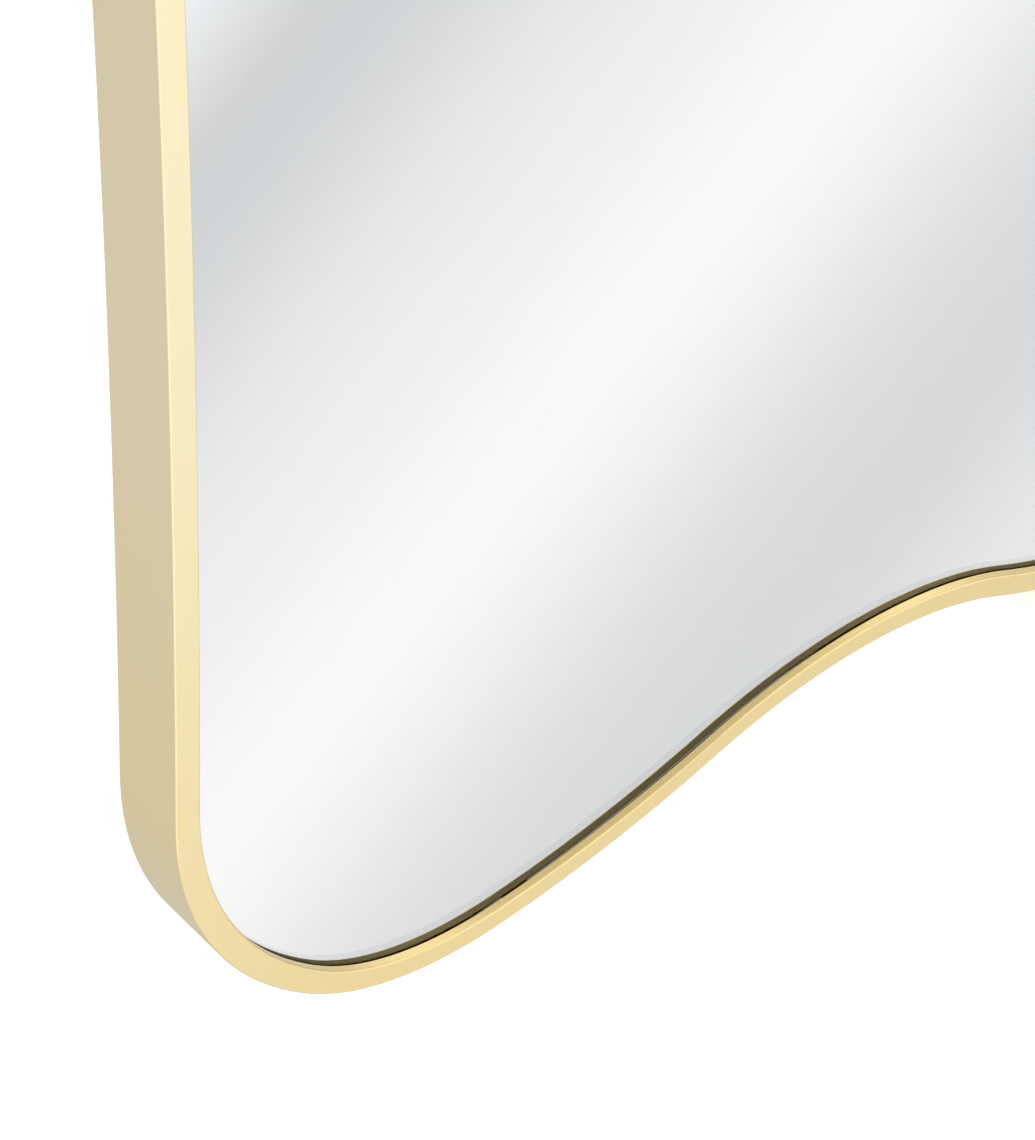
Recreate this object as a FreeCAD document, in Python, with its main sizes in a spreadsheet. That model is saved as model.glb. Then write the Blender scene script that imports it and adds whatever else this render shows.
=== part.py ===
import FreeCAD, Part
import Sketcher
import math
import os

from FreeCAD import Placement, Rotation, Vector

# Irregular wall mirror in a bent aluminium frame.
# Frame of the part: +Z up, -Y out of the mirror, the wall is the plane Y = 0.
# Origin: on the wall, midway between the two upright hanging points.
# "Depth" below is the distance from the wall plane, "inset" the distance inward
# from the outer face of the frame.

doc = FreeCAD.newDocument("irregular_wall_mirror")
sheet = doc.addObject("Spreadsheet::Sheet", "Dimensions")

# One turn round the outline, walked down the left side and along the bottom.
# A negative turn is a hollow in the outline; a turn of zero is a straight whose length closes the loop.
OUTLINE = [
    # name, radius, turn in degrees
    ("foot", 220.0, 42.0),
    ("heel", 130.0, 44.5),
    ("toe", 345.0, 17.0),
    ("dip", 176.0, -49.0),
    ("sole", 420.0, 6.0),
    ("lobe", 98.0, 126.5),
    ("waist", 1600.0, -13.0),
    ("right_run", 0.0, 0.0),
    ("shoulder", 160.0, 48.0),
    ("brow", 230.0, 34.0),
    ("scoop", 480.0, -13.0),
    ("top_run", 0.0, 0.0),
    ("crown", 140.0, 74.0),
    ("temple", 220.0, 45.2),
    ("flank", 12000.0, -2.2),
]

SIZES = {
    # where the walk round the outline starts, and its heading there
    "start_x": -284.7,
    "start_z": -432.0,
    "start_heading": -91.0,
    # the aluminium section
    "frame_depth": 27.5,
    "lip_width": 10.0,
    "lip_drop": 3.1,
    "wall_thick": 1.6,
    "return_thick": 1.5,
    "edge_ease": 0.5,
    "rib_reach": 2.4,
    "bead_thick": 1.4,
    "rib_depth": 8.0,
    "rib_thick": 1.2,
    "seam_gap": 0.15,
    # the pane and what backs it
    "pane_inset": 4.5,
    "gasket_thick": 0.4,
    "gasket_inset": 9.6,
    "glass_thick": 4.0,
    "silver_thick": 0.1,
    "film_thick": 0.2,
    "foam_thick": 3.0,
    "board_thick": 5.0,
    # splice bar behind the seam
    "key_length": 100.0,
    "key_play": 0.1,
    "key_hole_radius": 1.5,
    "key_screw_radius": 1.45,
    # edge pads round the pane
    "pad_length": 12.0,
    "pad_thick": 2.4,
    "pad_height": 10.0,
    # retaining clips
    "clip_width": 14.0,
    "clip_thick": 1.0,
    "clip_rise": 1.5,
    "clip_tip_inset": 2.0,
    "clip_knee_inset": 7.0,
    "clip_end_inset": 21.0,
    "clip_hole_inset": 14.5,
    "clip_hole_radius": 1.7,
    "clip_screw_head_radius": 2.9,
    "clip_screw_head_height": 1.7,
    "clip_screw_shank_radius": 1.4,
    # strap hangers
    "hanger_half_span": 150.0,
    "side_hanger_x": 225.0,
    "side_hanger_z": -233.0,
    "side_half_span": 130.0,
    "strap_width": 16.0,
    "strap_length": 46.0,
    "strap_thick": 1.3,
    "eye_height": 3.1,
    "eye_bore": 1.7,
    "wire_radius": 1.5,
    "ring_half_width": 12.0,
    "ring_corner": 2.5,
    "ring_side": 4.0,
    "strap_hole_first": 27.0,
    "strap_hole_pitch": 12.0,
    "strap_hole_radius": 2.0,
    "strap_screw_head_radius": 3.4,
    "strap_screw_head_height": 2.0,
    "strap_screw_shank_radius": 1.6,
    "screw_bite": 4.4,
}


TINY = 0.01


def fill_sheet():
    """Write every driving dimension into the sheet under its own alias."""
    cells = dict(SIZES)
    for name, radius, turn in OUTLINE:
        if turn:
            cells[name + "_radius"] = radius
            cells[name + "_turn"] = abs(turn)
    for row, (alias, number) in enumerate(cells.items(), start=1):
        sheet.set("A%d" % row, alias)
        sheet.set("B%d" % row, str(number))
        sheet.setAlias("B%d" % row, alias)
    doc.recompute()


def size(alias):
    """A driving dimension, read back from the sheet."""
    return float(getattr(sheet, alias))


fill_sheet()

BOARD_BACK = size("rib_depth") + size("rib_thick") + size("clip_rise") + size("clip_thick")
BOARD_FRONT = BOARD_BACK + size("board_thick")
FOAM_FRONT = BOARD_FRONT + size("foam_thick")
FILM_FRONT = FOAM_FRONT + size("film_thick")
SILVER_FRONT = FILM_FRONT + size("silver_thick")
GLASS_FRONT = SILVER_FRONT + size("glass_thick")
HOOK_REACH = size("ring_corner") + size("ring_side") + size("ring_half_width") - size("wire_radius")


# ---------------------------------------------------------------- outline

def turn_of(name, turn):
    """Signed turn of one stretch, in radians, from the sheet."""
    if not turn:
        return 0.0
    return math.copysign(math.radians(size(name + "_turn")), turn)


def headings():
    """Heading at the start of each stretch, in radians."""
    heading = math.radians(size("start_heading"))
    found = []
    for name, _radius, turn in OUTLINE:
        found.append(heading)
        heading += turn_of(name, turn)
    return found


def left_of(heading):
    """Unit vector pointing inward, to the left of the walk."""
    return Vector(-math.sin(heading), math.cos(heading), 0)


def ahead_of(heading):
    return Vector(math.cos(heading), math.sin(heading), 0)


def straight_lengths():
    """Lengths of the two straights that bring the walk back to its start."""
    gap = Vector(0, 0, 0)
    runs = []
    for (name, _radius, turn), heading in zip(OUTLINE, headings()):
        if turn:
            signed = math.copysign(size(name + "_radius"), turn)
            gap -= (left_of(heading) - left_of(heading + turn_of(name, turn))) * signed
        else:
            runs.append((name, ahead_of(heading)))
    (first, along), (second, across) = runs
    det = along.x * across.y - along.y * across.x
    return {
        first: (gap.x * across.y - gap.y * across.x) / det,
        second: (along.x * gap.y - along.y * gap.x) / det,
    }


def outline(inset=0.0):
    """Stretches of the outline at an inset: (name, start, end, centre, heading in, heading out)."""
    lengths = straight_lengths()
    here = Vector(size("start_x"), size("start_z"), 0) + left_of(headings()[0]) * inset
    stretches = []
    for (name, _radius, turn), heading in zip(OUTLINE, headings()):
        leaving = heading + turn_of(name, turn)
        centre = None
        if turn:
            reach = math.copysign(size(name + "_radius"), turn) - inset
            centre = here + left_of(heading) * reach
            there = centre - left_of(leaving) * reach
        else:
            there = here + ahead_of(heading) * lengths[name]
        stretches.append((name, here, there, centre, heading, leaving))
        here = there
    return stretches


def spot(name, share, inset=0.0):
    """Point and heading part of the way along one stretch."""
    stretch = [item for item in outline(inset) if item[0] == name][0]
    _name, start, end, centre, heading, leaving = stretch
    if centre is None:
        return start + (end - start) * share, heading
    turned = heading + (leaving - heading) * share
    radius = (start - centre).Length
    side = math.copysign(radius, leaving - heading)
    return centre - left_of(turned) * side, turned


# ---------------------------------------------------------------- bodies

def new_body(label):
    body = doc.addObject("PartDesign::Body", label)
    body.Label = label
    return body


def origin_plane(body, role):
    for feature in body.Origin.OriginFeatures:
        if feature.Role == role:
            return feature
    raise ValueError(role)


def new_sketch(body, name, role, depth=0.0, offset=None):
    """A sketch on one of the body's origin planes, moved along its normal by depth."""
    sketch = body.newObject("Sketcher::SketchObject", name)
    sketch.AttachmentSupport = (origin_plane(body, role), [""])
    sketch.MapMode = "FlatFace"
    sketch.AttachmentOffset = offset or Placement(Vector(0, 0, depth), Rotation())
    return sketch


def tie(sketch, constraint, expression):
    """Add a constraint and drive it from the sheet."""
    row = sketch.addConstraint(constraint)
    sketch.setExpression("Constraints[%d]" % row, expression)


def measure(words):
    """A sum of sheet sizes written as words, such as 'lip_drop - wall_thick'."""
    total = 0.0
    sign = 1.0
    for word in words.split():
        if word in ("+", "-"):
            sign = 1.0 if word == "+" else -1.0
        else:
            total += sign * size(word)
    return total


def cell_words(words):
    """The same sum as an expression on the sheet."""
    terms = [word if word in ("+", "-") else "Dimensions." + word for word in words.split()]
    return " ".join(terms)


STEPS = {
    "right": Vector(1, 0, 0),
    "left": Vector(-1, 0, 0),
    "up": Vector(0, 1, 0),
    "down": Vector(0, -1, 0),
}


def draw_moves(sketch, start, moves):
    """A closed chain of straight moves, each (direction, words), or two such pairs for a slanted one.

    The last two moves close the chain, one along and one across, so they need no size of their own.
    """
    corner = Vector(start[0], start[1], 0)
    first = sketch.GeometryCount
    lines = []
    for move in moves:
        step = Vector(0, 0, 0)
        for way, words in zip(move[0::2], move[1::2]):
            step += STEPS[way] * measure(words)
        lines.append((corner, corner + step))
        corner = corner + step
    for here, there in lines:
        sketch.addGeometry(Part.LineSegment(here, there), False)
    for row, move in enumerate(moves):
        line = first + row
        following = first + (row + 1) % len(moves)
        sketch.addConstraint(Sketcher.Constraint("Coincident", line, 2, following, 1))
        if len(move) == 2:
            flat = "Horizontal" if move[0] in ("left", "right") else "Vertical"
            sketch.addConstraint(Sketcher.Constraint(flat, line))
        if row >= len(moves) - 2:
            continue
        for way, words in zip(move[0::2], move[1::2]):
            kind = "DistanceX" if way in ("left", "right") else "DistanceY"
            near, far = (1, 2) if way in ("right", "up") else (2, 1)
            length = Sketcher.Constraint(kind, line, near, line, far, measure(words))
            tie(sketch, length, cell_words(words))
    sketch.addConstraint(Sketcher.Constraint("DistanceX", first, 1, start[0]))
    sketch.addConstraint(Sketcher.Constraint("DistanceY", first, 1, start[1]))


def draw_outline(sketch, inset_cell=None):
    """Draw the closed outline as tangent arcs and straights, each radius and turn tied to the sheet."""
    inset = size(inset_cell) if inset_cell else 0.0
    base = sketch.GeometryCount
    ends = []
    for name, start, end, centre, heading, leaving in outline(inset):
        index = base + len(ends)
        if centre is None:
            sketch.addGeometry(Part.LineSegment(start, end), False)
            ends.append((index, 1, 2))
            continue
        middle = spot(name, 0.5, inset)[0]
        sketch.addGeometry(Part.Arc(start, middle, end), False)
        ends.append((index, 1, 2) if leaving > heading else (index, 2, 1))
    for (one, _a, leave), (two, enter, _b) in zip(ends, ends[1:] + ends[:1]):
        sketch.addConstraint(Sketcher.Constraint("Tangent", one, leave, two, enter))
    heading_sum = "Dimensions.start_heading"
    heading_tied = False
    for row, (name, _radius, turn) in enumerate(OUTLINE):
        index = base + row
        if not turn:
            if not heading_tied:
                angle = Sketcher.Constraint("Angle", index, headings()[row])
                tie(sketch, angle, "(%s) * 1 deg" % heading_sum)
                heading_tied = True
            continue
        sign = "-" if turn > 0 else "+"
        shift = " %s Dimensions.%s" % (sign, inset_cell) if inset_cell else ""
        radius = Sketcher.Constraint("Radius", index, sketch.Geometry[index].Radius)
        tie(sketch, radius, "Dimensions.%s_radius%s" % (name, shift))
        if row < len(OUTLINE) - 1:
            opening = Sketcher.Constraint("Angle", index, abs(turn_of(name, turn)))
            tie(sketch, opening, "Dimensions.%s_turn * 1 deg" % name)
        heading_sum += " %s Dimensions.%s_turn" % ("+" if turn > 0 else "-", name)
    centre = sketch.Geometry[base].Center
    first_radius = "Dimensions.%s_radius" % OUTLINE[0][0]
    swing = "Dimensions.start_heading * 1 deg"
    across = Sketcher.Constraint("DistanceX", base, 3, centre.x)
    upward = Sketcher.Constraint("DistanceY", base, 3, centre.y)
    tie(sketch, across, "Dimensions.start_x - %s * sin(%s)" % (first_radius, swing))
    tie(sketch, upward, "Dimensions.start_z + %s * cos(%s)" % (first_radius, swing))


def flats(centre, radius, sides=8):
    """Corners of a regular polygon whose flats touch a circle of the given radius."""
    reach = radius / math.cos(math.pi / sides)
    corners = []
    for step in range(sides):
        angle = (step + 0.5) * 2 * math.pi / sides
        corners.append(centre + Vector(reach * math.cos(angle), reach * math.sin(angle), 0))
    return corners


def draw_loop(sketch, corners):
    """A closed chain of straight lines through the corners; returns its first line's number."""
    first = sketch.GeometryCount
    count = len(corners)
    for here, there in zip(corners, corners[1:] + corners[:1]):
        sketch.addGeometry(Part.LineSegment(here, there), False)
    for step in range(count):
        following = first + (step + 1) % count
        sketch.addConstraint(Sketcher.Constraint("Coincident", first + step, 2, following, 1))
    return first


def pin(sketch, piece, point, place):
    """Fix one point of a sketch at its distances from the sketch's origin."""
    for kind, axis, distance in (("DistanceX", -2, place.x), ("DistanceY", -1, place.y)):
        if abs(distance) < TINY:
            sketch.addConstraint(Sketcher.Constraint("PointOnObject", piece, point, axis))
        else:
            sketch.addConstraint(Sketcher.Constraint(kind, -1, 1, piece, point, distance))


def draw_small_rounds(sketch, centres, radius_cell):
    """Small holes or bores, each drawn with eight flats round a circle of the sheet's radius."""
    for centre in centres:
        first = draw_loop(sketch, flats(centre, size(radius_cell)))
        guide = sketch.GeometryCount
        reach = size(radius_cell) / math.cos(math.pi / 8)
        sketch.addGeometry(Part.Circle(centre, Vector(0, 0, 1), reach), True)
        for side in range(first, first + 8):
            sketch.addConstraint(Sketcher.Constraint("PointOnObject", side, 1, guide))
        for side in range(first + 1, first + 8):
            sketch.addConstraint(Sketcher.Constraint("Equal", first, side))
        sketch.addConstraint(Sketcher.Constraint("Horizontal", first + 1))
        pin(sketch, guide, 3, centre)
        radius = Sketcher.Constraint("Radius", guide, reach)
        tie(sketch, radius, "Dimensions.%s / cos(22.5 deg)" % radius_cell)


def bind(feature, name, words):
    """Tie a feature's size to a sum of sheet sizes."""
    feature.setExpression(name, cell_words(words))


def pad(body, name, sketch, words, midplane=False):
    feature = body.newObject("PartDesign::Pad", name)
    feature.Profile = sketch
    bind(feature, "Length", words)
    feature.Midplane = midplane
    doc.recompute()
    return feature


def pocket(body, name, sketch, words, backward=False):
    """A cut of the given length, which must really take material away."""
    before = body.Shape.Volume
    feature = body.newObject("PartDesign::Pocket", name)
    feature.Profile = sketch
    feature.Reversed = backward
    bind(feature, "Length", words)
    doc.recompute()
    if feature.Shape.Volume > before - 0.1:
        raise RuntimeError(name + " cuts nothing")
    return feature


def group_feature(label, solids):
    """Identical fasteners in one node, as separate solids."""
    feature = doc.addObject("Part::Feature", label)
    feature.Label = label
    feature.Shape = Part.makeCompound(solids)
    return feature


# ---------------------------------------------------------------- frame

SECTION = [
    ("up", "lip_width"),
    ("right", "lip_drop"),
    ("down", "return_thick"),
    ("left", "lip_drop - wall_thick"),
    ("down", "lip_width - return_thick - wall_thick"),
    ("right", "frame_depth - wall_thick - rib_depth - rib_thick"),
    ("up", "rib_reach"),
    ("right", "rib_thick"),
    ("down", "rib_reach"),
    ("right", "rib_depth - bead_thick"),
    ("up", "rib_reach"),
    ("right", "bead_thick"),
    ("down", "wall_thick + rib_reach"),
    ("left", "frame_depth"),
]


def make_frame():
    """One bent extrusion: the section swept round the outline, its front edges eased, and one butt seam."""
    body = new_body("frame")
    path = new_sketch(body, "bend_line", "XZ_Plane")
    draw_outline(path)
    start, heading = spot(OUTLINE[0][0], 0.0)
    swing = Rotation(Vector(1, 0, 0), -math.degrees(heading))
    place = Placement(Vector(0, start.y, start.x), swing)
    section = new_sketch(body, "section", "YZ_Plane", offset=place)
    draw_moves(section, (-size("frame_depth"), 0.0), SECTION)
    sweep = body.newObject("PartDesign::AdditivePipe", "bent_section")
    sweep.Profile = section
    sweep.Spine = (path, ["Edge%d" % (step + 1) for step in range(len(OUTLINE))])
    doc.recompute()
    front = TINY - size("frame_depth")
    edges = ["Edge%d" % (row + 1) for row, edge in enumerate(sweep.Shape.Edges)
             if edge.BoundBox.YMax < front]
    eased = body.newObject("PartDesign::Chamfer", "eased_edges")
    eased.Base = (sweep, edges)
    eased.setExpression("Size", "Dimensions.edge_ease")
    doc.recompute()
    cut = new_sketch(body, "seam_line", "XZ_Plane", depth=size("frame_depth") + 1.0)
    draw_seam(cut)
    pocket(body, "butt_seam", cut, "frame_depth + frame_depth")
    return body


def draw_seam(sketch):
    """A saw-thin rectangle across the section, square to the middle of the top run."""
    inner, heading = spot("top_run", 0.5, size("lip_width") + 1.0)
    outer, _heading = spot("top_run", 0.5, -1.0)
    half = ahead_of(heading) * (size("seam_gap") / 2)
    corners = [outer - half, outer + half, inner + half, inner - half]
    first = draw_loop(sketch, corners)
    pin(sketch, first, 1, corners[0])
    for one, two in ((0, 2), (1, 3)):
        sketch.addConstraint(Sketcher.Constraint("Parallel", first + one, first + two))
    sketch.addConstraint(Sketcher.Constraint("Perpendicular", first, first + 1))
    sketch.addConstraint(Sketcher.Constraint("Angle", first, math.atan2(half.y, half.x)))
    sketch.addConstraint(Sketcher.Constraint("Distance", first + 1, (inner - outer).Length))
    tie(sketch, Sketcher.Constraint("Distance", first, size("seam_gap")), "Dimensions.seam_gap")


# ---------------------------------------------------------------- pane and backing

def make_layer(label, back_depth, words):
    """A flat sheet of the pane's outline, from its back depth towards the front."""
    body = new_body(label)
    sketch = new_sketch(body, label + "_outline", "XZ_Plane", depth=back_depth)
    draw_outline(sketch, "pane_inset")
    pad(body, label + "_sheet", sketch, words)
    return body


def make_gasket():
    """The thin dark tape that the glass seats on, behind the lip."""
    body = new_body("glazing_gasket")
    sketch = new_sketch(body, "gasket_outline", "XZ_Plane", depth=GLASS_FRONT)
    draw_outline(sketch, "pane_inset")
    draw_outline(sketch, "gasket_inset")
    pad(body, "gasket_tape", sketch, "gasket_thick")
    return body


# ---------------------------------------------------------------- fixings

CLIP_PLACES = [
    ("foot", 0.9), ("dip", 0.5), ("lobe", 0.5), ("waist", 0.62), ("shoulder", 0.6), ("scoop", 0.5),
    ("crown", 0.75), ("flank", 0.4),
]
PAD_PLACES = [
    ("toe", 0.12), ("lobe", 0.5), ("waist", 0.2), ("waist", 0.8), ("brow", 0.5), ("crown", 0.75),
    ("flank", 0.1), ("flank", 0.9),
]
KEY_SCREWS = [-38.0, -14.0, 14.0, 38.0]
RING_FLATS = 12


def edge_place(name, share):
    """Placement at an edge point: local X runs inward, local Y into the wall, local Z along the edge."""
    point, heading = spot(name, share)
    inward = math.degrees(heading) + 90.0
    return Placement(Vector(point.x, 0, point.y), Rotation(Vector(0, 1, 0), -inward))


def make_clip(number, name, share):
    """A small stepped clip: its tongue hooks behind the frame's rib, its foot is screwed to the board."""
    label = "retaining_clip_%02d" % number
    body = new_body(label)
    sketch = new_sketch(body, label + "_side", "XY_Plane")
    foot_back = -BOARD_BACK + size("clip_thick")
    moves = [
        ("right", "clip_knee_inset - clip_tip_inset"),
        ("right", "clip_thick", "down", "clip_rise"),
        ("right", "clip_end_inset - clip_knee_inset - clip_thick"),
        ("down", "clip_thick"),
        ("left", "clip_end_inset - clip_knee_inset - clip_thick"),
        ("left", "clip_thick", "up", "clip_rise"),
        ("left", "clip_knee_inset - clip_tip_inset"),
        ("up", "clip_thick"),
    ]
    draw_moves(sketch, (size("clip_tip_inset"), foot_back + size("clip_rise")), moves)
    pad(body, label + "_strip", sketch, "clip_width", midplane=True)
    hole = new_sketch(body, label + "_hole", "XZ_Plane", depth=BOARD_BACK - 2 * size("clip_thick"))
    draw_small_rounds(hole, [Vector(size("clip_hole_inset"), 0, 0)], "clip_hole_radius")
    pocket(body, label + "_bore", hole, "clip_thick + clip_thick + clip_thick", backward=True)
    body.Placement = edge_place(name, share)
    return body


def ring_corners(sign):
    """Corners of the ring's right half: (x, its expression, z, its expression)."""
    grow = math.copysign(size("wire_radius"), sign)
    more = "%+d * Dimensions.wire_radius" % sign
    high = -size("ring_corner")
    low = high - size("ring_side")
    half = size("ring_half_width") + grow
    half_words = "(Dimensions.ring_half_width %s)" % more
    high_words = "-Dimensions.ring_corner"
    low_words = high_words + " - Dimensions.ring_side"
    bar = size("ring_half_width") - size("ring_corner")
    bar_words = "Dimensions.ring_half_width - Dimensions.ring_corner"
    corners = [(bar, bar_words, grow, more), (half, half_words, high, high_words)]
    for part in range(RING_FLATS // 2 + 1):
        turn = 180.0 * part / RING_FLATS
        across = half * math.cos(math.radians(turn))
        down = low - half * math.sin(math.radians(turn))
        across_words = "%s * cos(%g deg)" % (half_words, turn)
        down_words = "%s - %s * sin(%g deg)" % (low_words, half_words, turn)
        corners.append((across, across_words, down, down_words))
    return corners


def draw_ring_edge(sketch, sign):
    """Outer (+1) or inner (-1) edge of the D ring, with flats for its bow and corners.

    The sheet drives the right half's corners, and the left half mirrors them.
    """
    corners = ring_corners(sign)
    right = [Vector(x, z, 0) for x, _x_words, z, _z_words in corners]
    left = [Vector(-point.x, point.y, 0) for point in reversed(right[:-1])]
    first = draw_loop(sketch, right + left)
    foot = first + len(right) - 1
    last = first + len(right) + len(left) - 1
    for row, (x, x_words, z, z_words) in enumerate(corners):
        corner = first + row
        tie(sketch, Sketcher.Constraint("DistanceY", -1, 1, corner, 1, z), z_words)
        if corner == foot:
            sketch.addConstraint(Sketcher.Constraint("PointOnObject", corner, 1, -2))
            continue
        tie(sketch, Sketcher.Constraint("DistanceX", -1, 1, corner, 1, x), x_words)
        sketch.addConstraint(Sketcher.Constraint("Symmetric", corner, 1, last - row, 1, -2))


def make_ring(label, place):
    """A closed D ring hanging down from its bar, its round wire drawn with eight flats."""
    body = new_body(label)
    plan = new_sketch(body, label + "_plan", "XZ_Plane", depth=BOARD_BACK - size("eye_height"))
    draw_ring_edge(plan, 1)
    draw_ring_edge(plan, -1)
    bar = pad(body, label + "_bar", plan, "wire_radius + wire_radius", midplane=True)
    flat_sides = ["Face%d" % (row + 1) for row, face in enumerate(bar.Shape.Faces)
                  if face.BoundBox.YLength < TINY]
    wire = body.newObject("PartDesign::Chamfer", label + "_wire")
    wire.Base = (bar, flat_sides)
    wire.setExpression("Size", "Dimensions.wire_radius * (2 - sqrt(2))")
    doc.recompute()
    body.Placement = place
    return body


def strap_hole_centres():
    first = -size("strap_hole_first")
    return [Vector(0, first - row * size("strap_hole_pitch"), 0) for row in range(2)]


def make_strap(label, place):
    """The hanger's plate: a steel strip rolled into an eye round the ring's bar, with two screw holes."""
    body = new_body(label)
    plate_back = BOARD_BACK
    side = new_sketch(body, label + "_plate_side", "YZ_Plane")
    moves = [
        ("right", "strap_thick"),
        ("down", "strap_length"),
        ("left", "strap_thick"),
        ("up", "strap_length"),
    ]
    draw_moves(side, (-plate_back, 0.0), moves)
    plate = pad(body, label + "_plate", side, "strap_width", midplane=True)
    eye = Vector(-plate_back + size("eye_height"), 0, 0)
    roll = new_sketch(body, label + "_eye_outside", "YZ_Plane")
    roll.addGeometry(Part.Circle(eye, Vector(0, 0, 1), size("eye_bore") + size("strap_thick")), False)
    outside = Sketcher.Constraint("Radius", 0, size("eye_bore") + size("strap_thick"))
    tie(roll, outside, "Dimensions.eye_bore + Dimensions.strap_thick")
    pin(roll, 0, 3, eye)
    pad(body, label + "_eye", roll, "strap_width", midplane=True)
    bore = new_sketch(body, label + "_eye_inside", "YZ_Plane", depth=-size("strap_width"))
    draw_small_rounds(bore, [eye], "eye_bore")
    pocket(body, label + "_eye_bore", bore, "strap_width + strap_width", backward=True)
    holes = new_sketch(body, label + "_holes", "XZ_Plane", depth=BOARD_BACK - 2 * size("strap_thick"))
    draw_small_rounds(holes, strap_hole_centres(), "strap_hole_radius")
    through = "strap_thick + strap_thick + strap_thick"
    last = pocket(body, label + "_screw_holes", holes, through, backward=True)
    low = TINY - size("strap_length")
    corners = ["Edge%d" % (row + 1) for row, edge in enumerate(last.Shape.Edges)
               if edge.BoundBox.ZMax < low and edge.BoundBox.XLength < TINY]
    rounded = body.newObject("PartDesign::Fillet", label + "_rounded_end")
    rounded.Base = (last, corners)
    rounded.setExpression("Radius", "Dimensions.strap_width * 0.4")
    doc.recompute()
    body.Placement = place
    return body


def prism(radius, low, high, sides):
    """A straight many-sided bar along Y."""
    corners = [Vector(point.x, low, point.y) for point in flats(Vector(0, 0, 0), radius, sides)]
    face = Part.Face(Part.makePolygon(corners + corners[:1]))
    return face.extrude(Vector(0, high - low, 0))


def pan_screw(head, shank_length):
    """A screw along Y, its head towards the wall and the underside of the head at Y = 0."""
    cap = prism(size(head + "_head_radius"), 0.0, size(head + "_head_height"), 12)
    shank = prism(size(head + "_shank_radius"), -shank_length, 0.0, 6)
    return cap.fuse(shank).removeSplitter()


def screw_group(label, screw, spots, underside_depth):
    """The same screw at every (x, z) spot."""
    solids = []
    for point in spots:
        copy = screw.copy()
        copy.translate(Vector(point.x, -underside_depth, point.y))
        solids.append(copy)
    return group_feature(label, solids)


def make_key():
    """The splice bar that slides in the rear groove and bridges the seam, with four tapped holes."""
    body = new_body("splice_key")
    side = new_sketch(body, "key_side", "XY_Plane")
    moves = [
        ("right", "rib_reach - key_play - key_play"),
        ("up", "rib_depth - bead_thick - key_play - key_play"),
        ("left", "rib_reach - key_play - key_play"),
        ("down", "rib_depth - bead_thick - key_play - key_play"),
    ]
    draw_moves(side, (size("wall_thick") + size("key_play"), -size("rib_depth") + size("key_play")), moves)
    pad(body, "key_bar", side, "key_length", midplane=True)
    holes = new_sketch(body, "key_holes", "YZ_Plane")
    middle = -(size("rib_depth") + size("bead_thick")) / 2
    draw_small_rounds(holes, [Vector(middle, along, 0) for along in KEY_SCREWS], "key_hole_radius")
    pocket(body, "key_tapped_holes", holes, "lip_width", backward=True)
    body.Placement = edge_place("top_run", 0.5)
    return body


def make_key_screws():
    """Grub screws through the splice bar, their points against the outer wall."""
    length = size("rib_reach") - size("key_play")
    middle = -(size("rib_depth") + size("bead_thick")) / 2
    solids = []
    for along in KEY_SCREWS:
        corners = [Vector(size("wall_thick"), point.x, point.y)
                   for point in flats(Vector(middle, along, 0), size("key_screw_radius"))]
        grub = Part.Face(Part.makePolygon(corners + corners[:1])).extrude(Vector(length, 0, 0))
        grub.Placement = edge_place("top_run", 0.5)
        solids.append(grub)
    return group_feature("splice_screws", solids)


def make_pad(number, name, share):
    """A small foam block between the pane's edge and the frame wall."""
    label = "edge_pad_%d" % number
    block = doc.addObject("Part::Box", label)
    block.Label = label
    bind(block, "Length", "pad_thick")
    bind(block, "Width", "pad_height")
    bind(block, "Height", "pad_length")
    margin = (size("pane_inset") - size("wall_thick") - size("pad_thick")) / 2
    place = edge_place(name, share)
    corner = Vector(size("wall_thick") + margin,
                    -FOAM_FRONT - size("pad_height") / 2,
                    -size("pad_length") / 2)
    block.Placement = place.multiply(Placement(corner, Rotation()))
    return block


def hanger_places():
    """Label and placement of each strap hanger: two for upright hanging, two for hanging on its side."""
    axis = -HOOK_REACH
    half = size("hanger_half_span")
    side_x = size("side_hanger_x") - HOOK_REACH
    side_z = size("side_hanger_z")
    reach = size("side_half_span")
    quarter = Rotation(Vector(0, 1, 0), 90)
    return [
        ("left", Placement(Vector(-half, 0, axis), Rotation())),
        ("right", Placement(Vector(half, 0, axis), Rotation())),
        ("side_upper", Placement(Vector(side_x, 0, side_z + reach), quarter)),
        ("side_lower", Placement(Vector(side_x, 0, side_z - reach), quarter)),
    ]


def flat_spots(place, points):
    """(x, z) spots on the board of points given in a fixing's own frame."""
    found = []
    for point in points:
        moved = place.multVec(Vector(point.x, 0, point.y))
        found.append(Vector(moved.x, moved.z, 0))
    return found


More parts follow.
